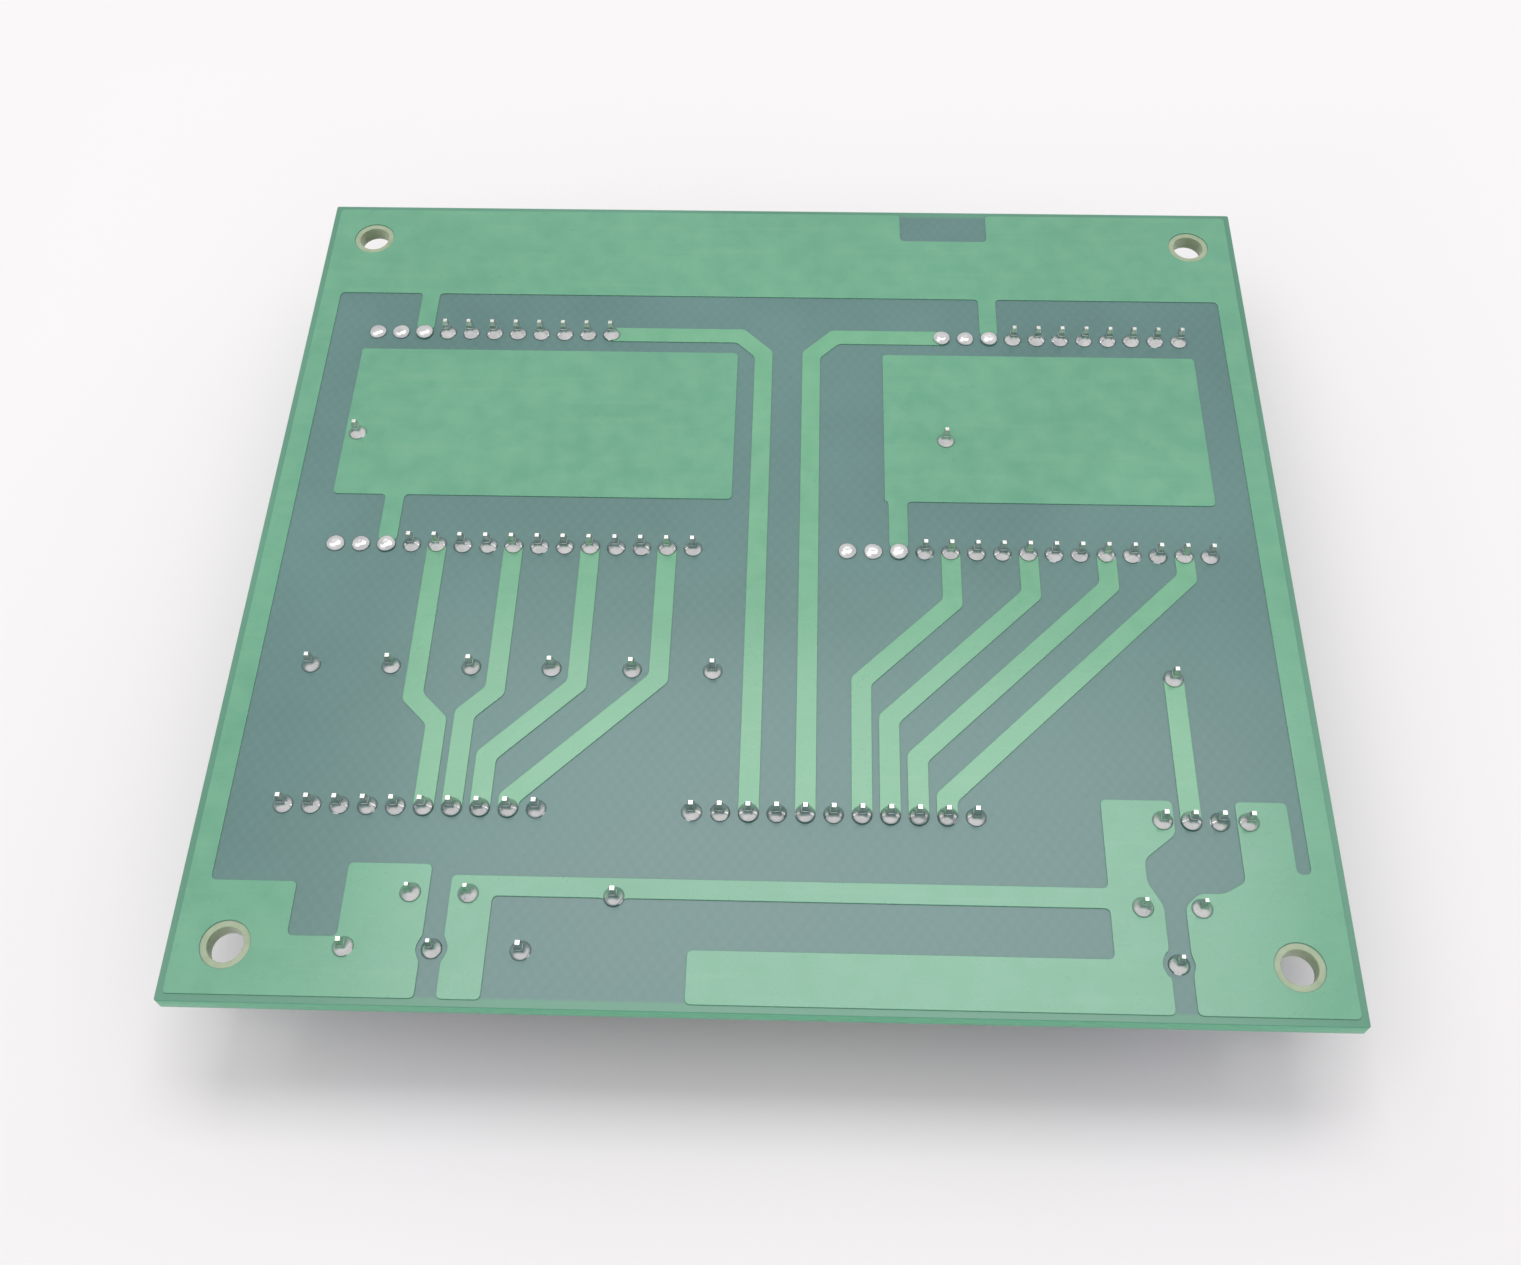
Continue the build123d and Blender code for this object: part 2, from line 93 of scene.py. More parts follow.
# Solder: the ranges that each joint draws from, and shares of its own size
FOOT_RANGE = (0.97, 1.0)
FILLET_HEIGHT_RANGE = (0.94, 1.12)
FILLET_UNEVEN_RANGE = (0.01, 0.05)
FILLET_SLUMP_RANGE = (1.2, 1.65)
FILLET_STEPS = 13
FILLET_FOOT_SHARE = 0.985
FILLET_NECK_SHARE = 0.56
FILLET_SQUARE_SHARE = 0.53
FILLET_TOP_SHARE = 0.7
FILLET_TOP_RISE = 1.02
FILLET_TILT_SHARE = 0.06
FILLET_LIP = 0.06 * MM
FILLET_LIP_RATE = 6
FILLET_LOBE_SHARE = 0.6
FILLET_FOOT_SWELL = 0.3
FILLET_MIDDLE_SWELL = 2.4
BEAD_HEIGHT_RANGE = (0.9, 1.1)
BEAD_STEPS = 10
BEAD_FOOT_SHARE = 0.98
BEAD_BEND = 0.96 * math.pi / 2
BEAD_UNEVEN = 0.02
BEAD_LIP = 0.04 * MM
BEAD_SINK_SHARE = 0.1
BEAD_SINK_START = 0.7
LATHE_SIDES = 32
LOW_BEAD_SIDES = 20

# Drop and radius of a filled hole's bead on the component side, in millimetres
LOW_BEAD_PROFILE = ((0, 0.62), (0.05, 0.6), (0.12, 0.5), (0.17, 0.32), (0.18, 0.1))

# Soft edges of the mouldings
MOULDING_EDGE = 0.12 * MM
CASE_EDGE = 0.18 * MM
DIAL_EDGE = 0.1 * MM
FLAT_ANGLE = math.radians(2)
SHARP_ANGLE = math.radians(25)

# Most values of a noise lie between these
NOISE_LOW = 0.3
NOISE_HIGH = 0.7

# A wave texture of scale 1 turns by this angle in each metre
WAVE_RATE = 20

# The floor's half width, and how far from the board's outline it begins and ends to fade into the surround
FLOOR_REACH = 3.0
FADE_START = 8 * MM
FADE_END = 45 * MM

# The camera of the photograph: metres, degrees, and millimetres for its lens and sensor
CAMERA_PLACE = (0.0029455, -0.0903492, 0.1438984)
CAMERA_ANGLES = (31.7544, 0.6445, 1.5348)
CAMERA_LENS = 38.024
CAMERA_SENSOR = 36
CAMERA_CLIP = 0.005

# The lamps are turned to this place in the object
LAMP_AIM = Vector((0, 0, 0.01))


def tone(red, green, blue):
    """A linear colour from the usual 0 to 255 values."""
    def linear(value):
        value /= 255
        return value / 12.92 if value <= 0.04045 else ((value + 0.055) / 1.055) ** 2.4
    return linear(red), linear(green), linear(blue), 1


SURROUND = tone(250, 248, 249)


# Materials

class Paint:
    """A Principled material with short ways to add noise, tones, gloss and bump."""

    def __init__(self, name, roughness, sockets=()):
        self.material = bpy.data.materials.new(name)
        self.material.use_nodes = True
        self.tree = self.material.node_tree
        self.shader = self.tree.nodes["Principled BSDF"]
        self.mean_roughness = roughness
        for socket, value in {"Roughness": roughness, **dict(sockets)}.items():
            self.shader.inputs[socket].default_value = value
        self.place = self.tree.nodes.new("ShaderNodeTexCoord").outputs["Object"]

    def node(self, kind, inputs=(), **settings):
        """A new node with these settings. An input is a value, or the output that feeds it."""
        made = self.tree.nodes.new(kind)
        for key, value in settings.items():
            setattr(made, key, value)
        for socket, value in dict(inputs).items():
            if isinstance(value, bpy.types.NodeSocket):
                self.tree.links.new(value, made.inputs[socket])
            else:
                made.inputs[socket].default_value = value
        return made

    def noise(self, per_metre, detail=3.0, rough=0.5, density=None):
        """Noise with about so many swells in a metre, times an axis's density where that is given."""
        place = self.place
        if density:
            place = self.node("ShaderNodeMapping", {"Vector": place, "Scale": density}).outputs[0]
        made = self.node("ShaderNodeTexNoise", {"Vector": place, "Scale": per_metre,
                                                "Detail": detail, "Roughness": rough})
        return made.outputs["Fac"]

    def weave(self, warp, weft):
        """Threads of glass cloth that pass over and under each other, with these steps between them."""
        bands = []
        for direction, step in (("X", warp), ("Y", weft)):
            scale = 2 * math.pi / (WAVE_RATE * step)
            made = self.node("ShaderNodeTexWave", {"Vector": self.place, "Scale": scale, "Distortion": 1.6,
                                                   "Detail": 2.0, "Detail Scale": 0.4},
                             wave_type="BANDS", bands_direction=direction, wave_profile="SIN")
            bands.append(self.span(made.outputs["Fac"], 0.0, 1.0, -1.0, 1.0))
        return self.span(self.maths("MULTIPLY", bands[0], bands[1]), -1.0, 1.0)

    def folded(self):
        """The place, with all four quarters of the plan folded onto one."""
        return self.node("ShaderNodeVectorMath", {0: self.place}, operation="ABSOLUTE").outputs[0]

    def outside(self, half_width, half_depth):
        """How far a plan place lies outside a rectangle round the origin, below zero within it."""
        parts = self.node("ShaderNodeSeparateXYZ", {0: self.folded()}).outputs
        return self.maths("MAXIMUM", self.maths("SUBTRACT", parts["X"], half_width),
                          self.maths("SUBTRACT", parts["Y"], half_depth))

    def maths(self, operation, first, second=0.0):
        """The result of an operation on one or two values."""
        return self.node("ShaderNodeMath", {0: first, 1: second}, operation=operation).outputs[0]

    def span(self, value, low, high, to_low=0.0, to_high=1.0):
        """A value brought from one range to another, and held at its ends."""
        made = self.node("ShaderNodeMapRange", {"Value": value, "From Min": low, "From Max": high,
                                                "To Min": to_low, "To Max": to_high}, clamp=True)
        return made.outputs["Result"]

    def mix(self, share, first, second):
        """Two tones mixed. A mix node has its tones at sockets 6 and 7, and the result at 2."""
        made = self.node("ShaderNodeMix", {0: share, 6: first, 7: second}, data_type="RGBA")
        return made.outputs[2]

    def blend(self, noise, low, high, start=NOISE_LOW, full=NOISE_HIGH):
        """A tone that goes from one to the other as a noise rises."""
        return self.mix(self.span(noise, start, full), low, high)

    def fleck(self, body, noise, start, full, share, colour):
        """A tone with up to a share of a colour laid over it where a noise is high."""
        return self.mix(self.span(noise, start, full, 0.0, share), body, colour)

    def heights(self, first, second, second_share):
        """Two heights added up, in shares that make one whole."""
        return self.maths("ADD", self.maths("MULTIPLY", first, 1 - second_share),
                          self.maths("MULTIPLY", second, second_share))

    def colour(self, value):
        """Sets the base colour."""
        self.tree.links.new(value, self.shader.inputs["Base Color"])

    def vary_roughness(self, noise, spread, start=NOISE_LOW, full=NOISE_HIGH):
        """Spreads the roughness to both sides of its mean as a noise rises."""
        low, high = self.mean_roughness - spread, self.mean_roughness + spread
        self.tree.links.new(self.span(noise, start, full, low, high), self.shader.inputs["Roughness"])

    def bump(self, height, strength, distance):
        """Gives the surface a fine relief."""
        made = self.node("ShaderNodeBump", {"Height": height, "Strength": strength,
                                            "Distance": distance})
        self.tree.links.new(made.outputs[0], self.shader.inputs["Normal"])


def near_holes(paint):
    """1 in a ring round each corner hole, and 0 elsewhere."""
    flat = paint.node("ShaderNodeVectorMath", {0: paint.folded(), 1: (1, 1, 0)}, operation="MULTIPLY")
    distance = paint.node("ShaderNodeVectorMath", {0: flat.outputs[0], 1: HOLE_PLACE}, operation="DISTANCE")
    return paint.span(distance.outputs["Value"], RING_RADIUS - RING_FADE, RING_RADIUS,
                      to_low=1.0, to_high=0.0)


def on_upright_faces(paint):
    """1 on upright faces, and 0 on level ones."""
    facing = paint.node("ShaderNodeNewGeometry").outputs["Normal"]
    upward = paint.maths("ABSOLUTE", paint.node("ShaderNodeSeparateXYZ", {0: facing}).outputs["Z"])
    return paint.span(upward, low=0.4, high=0.6, to_low=1.0, to_high=0.0)


def mask_on_laminate():
    """Dark green mask on the laminate, paler at the rim and bare in a ring round each corner hole."""
    paint = Paint("mask_on_laminate", roughness=0.35, sockets={"Coat Weight": 0.25, "Coat Roughness": 0.16})
    weave = paint.weave(WARP_STEP, WEFT_STEP)
    cloud = paint.noise(55, detail=4)
    grit = paint.noise(1500, detail=2)
    fibre = paint.noise(700, rough=0.6, density=(1, 1, 6))
    mask = paint.blend(cloud, tone(78, 119, 115), tone(90, 131, 127))
    mask = paint.fleck(mask, weave, start=0.3, full=0.9, share=0.09, colour=tone(112, 154, 144))
    mask = paint.fleck(mask, grit, start=0.62, full=0.8, share=0.18, colour=tone(54, 90, 88))
    pale = paint.blend(cloud, tone(78, 144, 112), tone(90, 156, 124))
    to_rim = paint.outside(HALF_WIDTH, HALF_DEPTH)
    rim = paint.span(to_rim, -RIM_WIDTH - RIM_FADE, -RIM_WIDTH, to_high=RIM_SHARE)
    mask = paint.mix(rim, mask, pale)
    edge = paint.blend(fibre, tone(58, 168, 118), tone(84, 190, 144))
    ring = paint.blend(fibre, tone(148, 166, 132), tone(168, 184, 152))
    paint.colour(paint.mix(near_holes(paint), paint.mix(on_upright_faces(paint), mask, edge), ring))
    paint.vary_roughness(cloud, spread=0.05)
    paint.bump(paint.heights(weave, grit, second_share=0.5), strength=0.2, distance=0.03 * MM)
    return paint.material


def mask_on_copper(name, low, high):
    """Lighter, yellower green where the mask lies on copper, with a smooth slightly uneven gloss."""
    paint = Paint(name, roughness=0.28, sockets={"Coat Weight": 0.35, "Coat Roughness": 0.12})
    cloud = paint.noise(48, detail=4)
    flow = paint.noise(380)
    scrub = paint.noise(900, rough=0.6, density=(0.05, 1, 1))
    grit = paint.noise(1700, detail=2)
    mask = paint.blend(cloud, low, high)
    mask = paint.fleck(mask, flow, start=0.35, full=0.75, share=0.12, colour=tone(150, 204, 164))
    mask = paint.fleck(mask, scrub, start=0.55, full=0.75, share=0.1, colour=tone(150, 200, 158))
    mask = paint.fleck(mask, grit, start=0.64, full=0.8, share=0.14, colour=tone(54, 106, 84))
    paint.colour(mask)
    paint.vary_roughness(flow, spread=0.06)
    paint.bump(paint.heights(flow, grit, second_share=0.3), strength=0.22, distance=0.04 * MM)
    return paint.material


def solder():
    """Bright solder with dull grainy patches."""
    paint = Paint("solder", roughness=0.21, sockets={"Metallic": 1.0})
    patch = paint.noise(900, detail=4)
    grain = paint.noise(5200)
    body = paint.blend(patch, tone(194, 195, 196), tone(218, 218, 217), start=0.35)
    body = paint.fleck(body, grain, start=0.6, full=0.8, share=0.25, colour=tone(150, 150, 152))
    paint.colour(body)
    paint.vary_roughness(patch, spread=0.09, full=0.75)
    paint.bump(grain, strength=0.3, distance=0.03 * MM)
    return paint.material


def tinned_pin():
    """Drawn and tinned wire: fine lines along the pin and warmer worn spots."""
    paint = Paint("tinned_pin", roughness=0.31, sockets={"Metallic": 1.0})
    line = paint.noise(3000, rough=0.6, density=(1, 1, 0.06))
    spot = paint.noise(700)
    body = paint.blend(line, tone(196, 195, 190), tone(224, 223, 219))
    body = paint.fleck(body, spot, start=0.62, full=0.8, share=0.35, colour=tone(196, 184, 150))
    paint.colour(body)
    paint.vary_roughness(line, spread=0.09)
    paint.bump(line, strength=0.2, distance=0.02 * MM)
    return paint.material


def nylon():
    """Undyed nylon with a fine moulded grain and faint flow marks."""
    depth = {"Subsurface Weight": 0.12, "Subsurface Scale": 1.0,
             "Subsurface Radius": (0.6 * MM, 0.5 * MM, 0.35 * MM)}
    paint = Paint("nylon", roughness=0.46, sockets=depth)
    flow = paint.noise(160, detail=4, rough=0.55, density=(0.4, 1, 1))
    grain = paint.noise(4200, detail=2)
    body = paint.blend(flow, tone(222, 216, 198), tone(236, 232, 218))
    body = paint.fleck(body, grain, start=0.6, full=0.85, share=0.12, colour=tone(190, 182, 160))
    paint.colour(body)
    paint.vary_roughness(flow, spread=0.06)
    paint.bump(grain, strength=0.25, distance=0.03 * MM)
    return paint.material


def moulded(name, roughness, low, high, speck):
    """A dyed moulding with a fine eroded grain."""
    paint = Paint(name, roughness)
    flow = paint.noise(140, detail=4)
    grain = paint.noise(3600)
    body = paint.blend(flow, low, high)
    body = paint.fleck(body, grain, start=0.62, full=0.85, share=0.2, colour=speck)
    paint.colour(body)
    paint.vary_roughness(grain, spread=0.06)
    paint.bump(grain, strength=0.3, distance=0.03 * MM)
    return paint.material


LAMINATE = mask_on_laminate()
AREA_MASK = mask_on_copper("mask_on_copper_area", low=tone(91, 161, 127), high=tone(100, 170, 135))
TRACK_MASK = mask_on_copper("mask_on_copper_track", low=tone(98, 168, 129), high=tone(108, 178, 137))
SOLDER = solder()
PIN = tinned_pin()
NYLON = nylon()
TRIMMER_CASE = moulded("trimmer_case", roughness=0.36, low=tone(36, 76, 156), high=tone(46, 90, 172),
                       speck=tone(20, 48, 110))
TRIMMER_ROTOR = moulded("trimmer_rotor", roughness=0.46, low=tone(226, 220, 204), high=tone(238, 234, 222),
                        speck=tone(186, 178, 160))


# The pins and leads are shown as they come from the frame

def dress(name, material):
    """Gives a CAD node a material."""
    node = nodes[name]
    if not node.data.materials:
        node.data.materials.append(material)
    for slot in node.material_slots:
        slot.material = material


for name in WIRES:
    dress(name, PIN)


# Pieces that stand in for CAD nodes

def welded(node):
    """The mesh of a CAD node with its split corners joined again."""
    mesh = bmesh.new()
    mesh.from_mesh(nodes[node].data)
    bmesh.ops.remove_doubles(mesh, verts=mesh.verts, dist=NODE_WELD)
    return mesh


def solids(node):
    """The lowest and highest corner of each separate solid of a CAD node, from front to back."""
    mesh = welded(node)
    left = set(mesh.verts)
    boxes = []
    while left:
        group = [left.pop()]
        for vert in group:
            for edge in vert.link_edges:
                other = edge.other_vert(vert)
                if other in left:
                    left.remove(other)
                    group.append(other)
        low = Vector([min(v.co[k] for v in group) for k in range(3)])
        high = Vector([max(v.co[k] for v in group) for k in range(3)])
        boxes.append((low, high))
    mesh.free()
    return sorted(boxes, key=lambda box: (round(box[0].y, 5), round(box[0].x, 5)))


def add_piece(name, mesh, material, stands_for=None):
    """Makes an object of a finished mesh and ties it to the part. Level faces are shaded flat."""
    data = bpy.data.meshes.new(name)
    bmesh.ops.recalc_face_normals(mesh, faces=mesh.faces)
    for face in mesh.faces:
        face.smooth = abs(face.normal.z) < LEVEL_NORMAL
    mesh.to_mesh(data)
    mesh.free()
    data.materials.append(material)
    piece = bpy.data.objects.new(name, data)
    bpy.context.scene.collection.objects.link(piece)
    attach(piece, "root")
    if stands_for:
        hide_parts(stands_for)
    return piece


# Flat sheets: the laminate and the copper

def outlines(node):
    """The closed outlines of a flat CAD sheet's upper face, as plan points in millimetres."""
    mesh = welded(node)
    top = max(vert.co.z for vert in mesh.verts)
    upper = {face for face in mesh.faces if all(top - vert.co.z < LEVEL_TOLERANCE for vert in face.verts)}
    ahead = {}
    for face in upper:
        for loop in face.loops:
            if sum(other in upper for other in loop.edge.link_faces) == 1:
                ahead.setdefault(loop.vert.index, []).append(loop.link_loop_next.vert.index)
    places = [vert.co.xy / MM for vert in mesh.verts]
    mesh.free()
    made = []
    while ahead:
        path = [min(ahead)]
        while path[-1] in ahead:
            options = ahead[path[-1]]
            step = options.pop()
            if not options:
                del ahead[path[-1]]
            path.append(step)
        made.append([places[index] for index in path[1:]])
    return made


def corners(points):
    """The points of a closed outline at which it turns."""
    kept = []
    for before, point, after in zip(points[-1:] + points[:-1], points, points[1:] + points[:1]):
        if abs((point - before).angle_signed(after - point)) > TURN_TOLERANCE:
            kept.append(point)
    return kept


def regained(points, cut):
    """A closed outline with the corners back that were cut off at this distance, in millimetres."""
    made = []
    was_cut = False
    edges = zip(points[-2:] + points[:-2], points[-1:] + points[:-1], points, points[1:] + points[:1])
    for before, start, end, after in edges:
        first_turn = (start - before).angle_signed(end - start)
        second_turn = (end - start).angle_signed(after - end)
        setback = (end - start).length / 2 / math.cos(first_turn)
        is_even = abs(first_turn - second_turn) < TURN_TOLERANCE
        is_cut = is_even and abs(setback - cut) < SETBACK_TOLERANCE
        if is_cut:
            made.append(start + (start - before).normalized() * cut)
        elif not was_cut:
            made.append(start)
        was_cut = is_cut
    return made


def rounded(points, reach, steps=5):
    """A closed outline with each corner turned into a short curve, in millimetres."""
    made = []
    for before, corner, after in zip(points[-1:] + points[:-1], points, points[1:] + points[:1]):
        back, ahead = before - corner, after - corner
        start = corner + back.normalized() * min(reach, EDGE_SHARE * back.length)
        end = corner + ahead.normalized() * min(reach, EDGE_SHARE * ahead.length)
        for k in range(steps + 1):
            t = k / steps
            made.append(start.lerp(corner, t).lerp(corner.lerp(end, t), t))
    return made


def sheet(node, name, material, rounding, edge, lies_flat):
    """A flat CAD sheet again, with rounded corners and edges. Its small square holes stay square.
    A sheet that lies flat on another has no rounded edge below."""
    low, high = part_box(node)
    curve = bpy.data.curves.new(name + "_outline", "CURVE")
    curve.dimensions = "2D"
    curve.fill_mode = "BOTH"
    for outline in outlines(node):
        points = regained(corners(outline), CUT_CORNER)
        if len(points) > 4 or (points[0] - points[1]).length > PIN_HOLE_LIMIT:
            points = rounded(points, rounding)
        spline = curve.splines.new("POLY")
        spline.points.add(len(points) - 1)
        for knot, point in zip(spline.points, points):
            knot.co = (point.x, point.y, 0, 1)
        spline.use_cyclic_u = True
    curve.extrude = (high.z - low.z) / MM / 2 - edge
    curve.bevel_depth = edge
    curve.bevel_resolution = 2
    curve.offset = -edge
    holder = bpy.data.objects.new(name + "_outline", curve)
    bpy.context.scene.collection.objects.link(holder)
    mesh = bmesh.new()
    raw = bpy.data.meshes.new_from_object(holder.evaluated_get(bpy.context.evaluated_depsgraph_get()))
    mesh.from_mesh(raw)
    bpy.data.objects.remove(holder)
    bpy.data.meshes.remove(raw)
    bpy.data.curves.remove(curve)
    bmesh.ops.remove_doubles(mesh, verts=mesh.verts, dist=SHEET_WELD)
    for vert in mesh.verts:
        sunk = lies_flat and vert.co.z < 0
        vert.co.z = low.z if sunk else (low.z + high.z) / 2 + vert.co.z * MM
        vert.co.x *= MM
        vert.co.y *= MM
    add_piece(name, mesh, material, node)


sheet("board", "laminate", LAMINATE, BOARD_ROUNDING, BOARD_EDGE, lies_flat=False)
for name in AREAS:
    pour = name.replace("copper", "pour")
    sheet(name, pour, AREA_MASK, AREA_ROUNDING, COPPER_EDGE, lies_flat=True)
for name in TRACKS:
    sheet(name, name + "_masked", TRACK_MASK, TRACK_ROUNDING, COPPER_EDGE, lies_flat=True)


# Solder

def level_ring(height, radius):
    """A ring for a turned form, the same all round."""
    return lambda angle: height, lambda angle: radius


def lathe(mesh, centre, rings, sides=LATHE_SIDES):
    """A closed turned form: each ring is a height and a radius for each angle."""
    loops = []
    for height, radius in rings:
        loop = []
        for k in range(sides):
            angle = 2 * math.pi * k / sides
            reach = radius(angle)
            loop.append(mesh.verts.new(centre + Vector((reach * math.cos(angle),
                                                        reach * math.sin(angle), height(angle)))))
        loops.append(loop)
    for below, above in zip(loops, loops[1:]):
        for k in range(sides):
            j = (k + 1) % sides
            mesh.faces.new((below[k], below[j], above[j], above[k]))
    mesh.faces.new(list(reversed(loops[0])))
    mesh.faces.new(loops[-1])


def middle(low, high, height):
    """The place at a height over the plan middle of a box."""
    return Vector(((low.x + high.x) / 2, (low.y + high.y) / 2, height))


def fillet_joint(mesh, low, high, pin_width):
    """A solder fillet: wide and round at the pad, drawn up to the square of the pin."""
    foot = (high.x - low.x) / 2 * dice.uniform(*FOOT_RANGE)
    neck = pin_width * FILLET_NECK_SHARE
    height = (high.z - low.z) * dice.uniform(*FILLET_HEIGHT_RANGE)
    sway = dice.uniform(0, 2 * math.pi)
    uneven = dice.uniform(*FILLET_UNEVEN_RANGE)
    slump = dice.uniform(*FILLET_SLUMP_RANGE)

    def ring(t):
        """The ring at a share of the way up, leaning and uneven."""
        base = neck + (foot - neck) * (1 - t) ** slump
        swell = uneven * (FILLET_FOOT_SWELL + FILLET_MIDDLE_SWELL * t * (1 - t))

        def rise(angle):
            tilt = FILLET_TILT_SHARE * height * math.cos(angle - sway) * t * t
            return FILLET_LIP * min(1, t * FILLET_LIP_RATE) + (height - FILLET_LIP) * t + tilt

        def radius(angle):
            lobes = math.sin(2 * angle + sway) + FILLET_LOBE_SHARE * math.sin(3 * angle - sway)
            round_reach = base * (1 + swell * lobes)
            square_reach = FILLET_SQUARE_SHARE * pin_width / max(abs(math.cos(angle)), abs(math.sin(angle)))
            return round_reach + (square_reach - round_reach) * t * t

        return rise, radius

    rings = [level_ring(0.0, foot * FILLET_FOOT_SHARE)]
    rings += [ring(step / FILLET_STEPS) for step in range(FILLET_STEPS + 1)]
    rings.append(level_ring(height * FILLET_TOP_RISE, neck * FILLET_TOP_SHARE))
    lathe(mesh, middle(low, high, low.z), rings)


def bead(mesh, low, high):
    """A solder bead over an empty hole, slightly sunk in the middle."""
    foot = (high.x - low.x) / 2 * dice.uniform(*FOOT_RANGE)
    height = (high.z - low.z) * dice.uniform(*BEAD_HEIGHT_RANGE)
    sway = dice.uniform(0, 2 * math.pi)

    def ring(t):
        """The ring at a share of the way over the dome."""
        bend = t * BEAD_BEND
        sink = BEAD_SINK_SHARE * height * max(0, t - BEAD_SINK_START) / (1 - BEAD_SINK_START)

        def rise(angle):
            return BEAD_LIP + (height - BEAD_LIP) * math.sin(bend) - sink

        def radius(angle):
            return foot * math.cos(bend) * (1 + BEAD_UNEVEN * math.sin(3 * angle + sway))

        return rise, radius

    rings = [level_ring(0.0, foot * BEAD_FOOT_SHARE)]
    rings += [ring(step / BEAD_STEPS) for step in range(BEAD_STEPS + 1)]
    lathe(mesh, middle(low, high, low.z), rings)


for name, wire in JOINT_WIRES.items():
    wire_low, wire_high = solids(wire)[0]
    mesh = bmesh.new()
    for low, high in solids(name + "_joints"):
        fillet_joint(mesh, low, high, wire_high.x - wire_low.x)
    add_piece(name + "_solder_fillets", mesh, SOLDER, name + "_joints")

hole_boxes = solids("filled_holes")
mesh = bmesh.new()
for low, high in hole_boxes:
    bead(mesh, low, high)
add_piece("solder_beads", mesh, SOLDER, "filled_holes")

# The filled holes seen from the component side
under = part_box("board")[0].z
low_rings = [level_ring(-drop * MM, reach * MM) for drop, reach in LOW_BEAD_PROFILE]
mesh = bmesh.new()
for low, high in hole_boxes:
    lathe(mesh, middle(low, high, under), low_rings, LOW_BEAD_SIDES)
add_piece("solder_beads_below", mesh, SOLDER)


# Mouldings of the component side

def soften(node, name, material, width):
    """A copy of a CAD moulding with its sharp edges rounded, as a mould leaves them."""
    mesh = welded(node)
    bmesh.ops.dissolve_limit(mesh, angle_limit=FLAT_ANGLE, verts=mesh.verts, edges=mesh.edges)
    sharp = [edge for edge in mesh.edges
             if len(edge.link_faces) == 2 and edge.calc_face_angle(0) > SHARP_ANGLE]
    bmesh.ops.bevel(mesh, geom=sharp, offset=width, segments=2, profile=0.6, affect="EDGES",
                    clamp_overlap=True, loop_slide=True)
    piece = add_piece(name, mesh, material, node)
    weighted = piece.modifiers.new("even_shading", "WEIGHTED_NORMAL")
    weighted.keep_sharp = True


for name in HEADERS:
    soften(name + "_header", name + "_moulding", NYLON, MOULDING_EDGE)
soften("post_blocks", "post_mouldings", NYLON, MOULDING_EDGE)
for name in TRIMMERS:
    soften(name + "_body", name + "_case", TRIMMER_CASE, CASE_EDGE)
    soften(name + "_rotor", name + "_dial", TRIMMER_ROTOR, DIAL_EDGE)


# Stage: a pale floor, soft light and the camera

def seen(tree):
    """1 for what the camera sees, also in a mirror or through glass, and 0 for what lights the object."""
    path = tree.nodes.new("ShaderNodeLightPath")
    value = path.outputs["Is Camera Ray"]
    for ray in ("Is Glossy Ray", "Is Transmission Ray"):
        either = tree.nodes.new("ShaderNodeMath")
        either.operation = "MAXIMUM"
        tree.links.new(value, either.inputs[0])
        tree.links.new(path.outputs[ray], either.inputs[1])
        value = either.outputs[0]
    return value


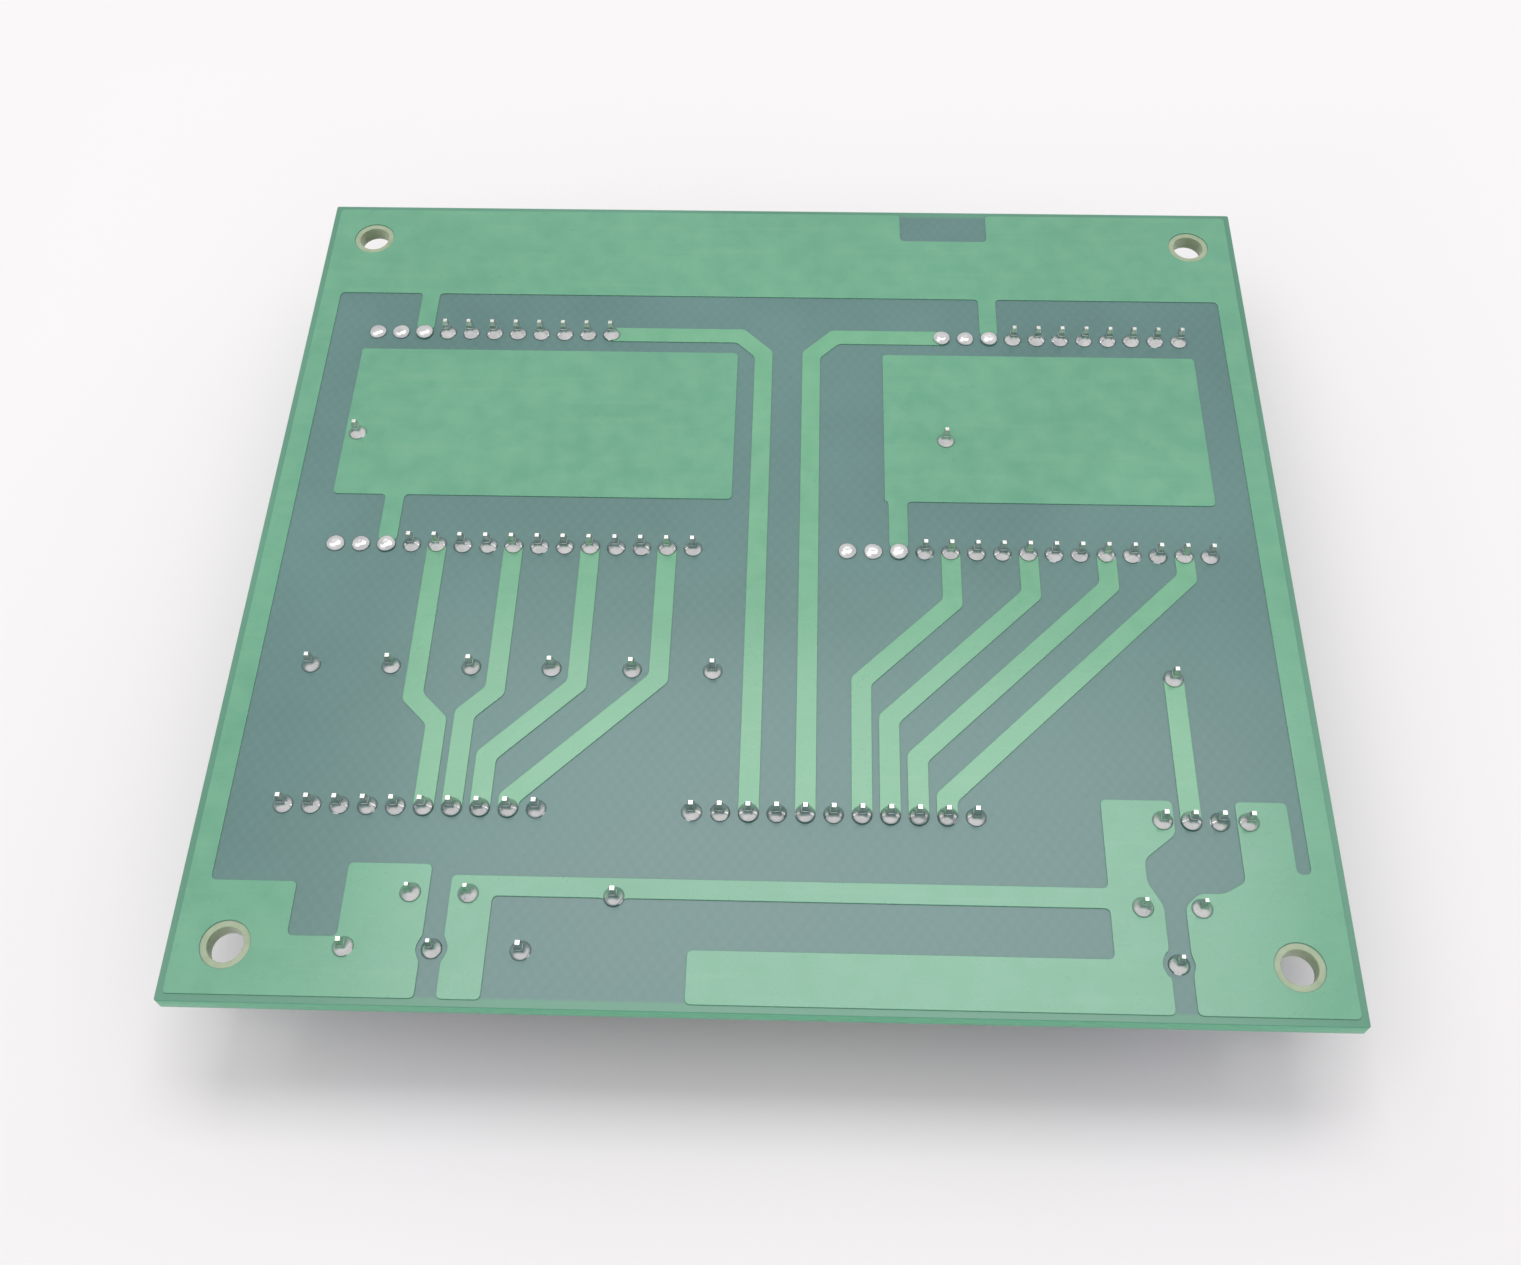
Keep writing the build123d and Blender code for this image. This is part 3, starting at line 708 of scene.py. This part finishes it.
def stage_floor():
    """A pale floor, which takes the shadow near the object and fades into the surround further out."""
    mesh = bpy.data.meshes.new("floor")
    reach = FLOOR_REACH
    mesh.from_pydata([(-reach, -reach, 0), (reach, -reach, 0), (reach, reach, 0), (-reach, reach, 0)],
                     [], [(0, 1, 2, 3)])
    floor = bpy.data.objects.new("floor", mesh)
    bpy.context.scene.collection.objects.link(floor)
    paint = Paint("floor", roughness=0.6, sockets={"Specular IOR Level": 0.2})
    paint.colour(paint.blend(paint.noise(9), tone(247, 245, 246), tone(251, 249, 250)))
    paint.bump(paint.noise(600, detail=2), strength=0.05, distance=0.05 * MM)
    far = paint.span(paint.outside(HALF_WIDTH, HALF_DEPTH), FADE_START, FADE_END)
    glow = paint.node("ShaderNodeEmission", {"Color": SURROUND, "Strength": 1.0})
    blend = paint.node("ShaderNodeMixShader", {0: paint.maths("MULTIPLY", far, seen(paint.tree)),
                                               1: paint.shader.outputs[0], 2: glow.outputs[0]})
    out = paint.tree.nodes["Material Output"]
    paint.tree.links.new(blend.outputs[0], out.inputs["Surface"])
    mesh.materials.append(paint.material)


def surround(light_strength):
    """Nearly white all round, and dimmer as light than as what is seen."""
    world = bpy.data.worlds.new("surround")
    bpy.context.scene.world = world
    world.use_nodes = True
    tree = world.node_tree
    back = tree.nodes["Background"]
    back.inputs["Color"].default_value = SURROUND
    level = tree.nodes.new("ShaderNodeMapRange")
    level.inputs["To Min"].default_value = light_strength
    level.inputs["To Max"].default_value = 1.0
    tree.links.new(seen(tree), level.inputs["Value"])
    tree.links.new(level.outputs["Result"], back.inputs["Strength"])


def softbox(name, place, size, watts):
    """A large soft lamp that is turned to the object."""
    light = bpy.data.lights.new(name, "AREA")
    light.shape = "RECTANGLE"
    light.size, light.size_y = size
    light.energy = watts
    made = bpy.data.objects.new(name, light)
    made.location = place
    made.rotation_euler = (LAMP_AIM - Vector(place)).to_track_quat("-Z", "Y").to_euler()
    bpy.context.scene.collection.objects.link(made)


stage_floor()
surround(light_strength=0.68)
softbox("back_softbox", place=(0.02, 0.24, 0.72), size=(0.5, 0.3), watts=1.7)
softbox("left_softbox", place=(-0.34, -0.02, 0.62), size=(0.45, 0.45), watts=0.55)

camera = bpy.data.objects.new("camera", bpy.data.cameras.new("camera"))
camera.data.sensor_fit = "HORIZONTAL"
camera.data.sensor_width = CAMERA_SENSOR
camera.data.lens = CAMERA_LENS
camera.data.clip_start = CAMERA_CLIP
camera.location = CAMERA_PLACE
camera.rotation_euler = [math.radians(angle) for angle in CAMERA_ANGLES]
bpy.context.scene.collection.objects.link(camera)
bpy.context.scene.camera = camera
bpy.context.scene.view_settings.view_transform = "Standard"
